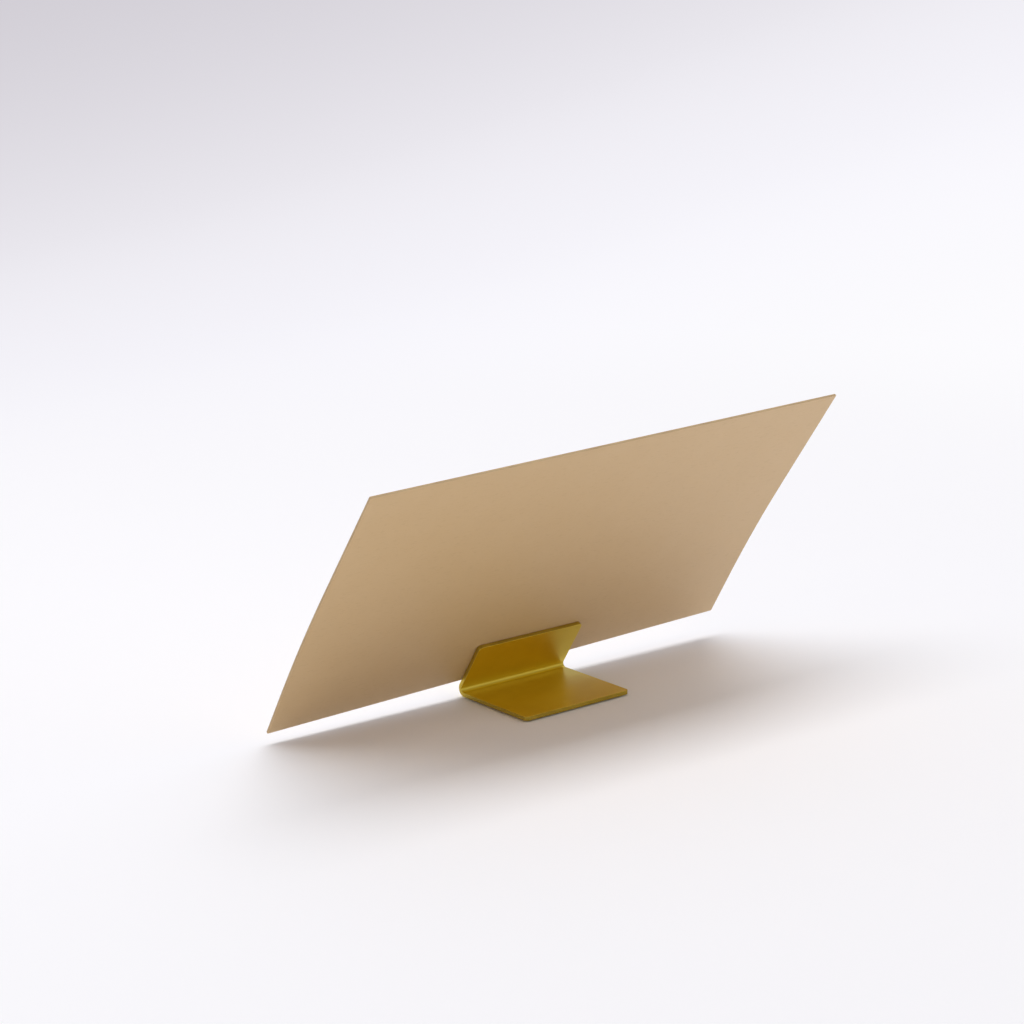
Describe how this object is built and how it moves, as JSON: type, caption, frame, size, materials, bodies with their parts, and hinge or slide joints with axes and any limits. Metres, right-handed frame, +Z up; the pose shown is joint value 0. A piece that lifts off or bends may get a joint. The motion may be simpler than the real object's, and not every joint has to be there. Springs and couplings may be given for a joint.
{
  "type": "place card holder",
  "caption": "Bent brass stand with a flat foot and a leaning back leaf, gripping a blank place card against a thin front spring leaf.",
  "frame": {"origin": "middle of the flat face that rests on the table, under the foot", "axes": "+Z up, X along the card's width, the card's front faces -Y and the foot reaches back along +Y"},
  "size_m": [0.0906, 0.0308, 0.0464],
  "materials": {
    "polished_brass": "polished, with fine rubbing marks",
    "spring_brass": "polished rolled sheet",
    "card_stock": "smooth tan card with a soft sheen"
  },
  "bodies": {
    "clip": {"stand": "polished_brass", "front_spring_leaf": "spring_brass"},
    "card": {"place_card": "card_stock"}
  },
  "joints": [
    {"name": "card_slide", "type": "slide", "parent": "clip", "child": "card", "axis": [0, 0.5299, 0.848], "range_m": [0, 0.005]}
  ]
}
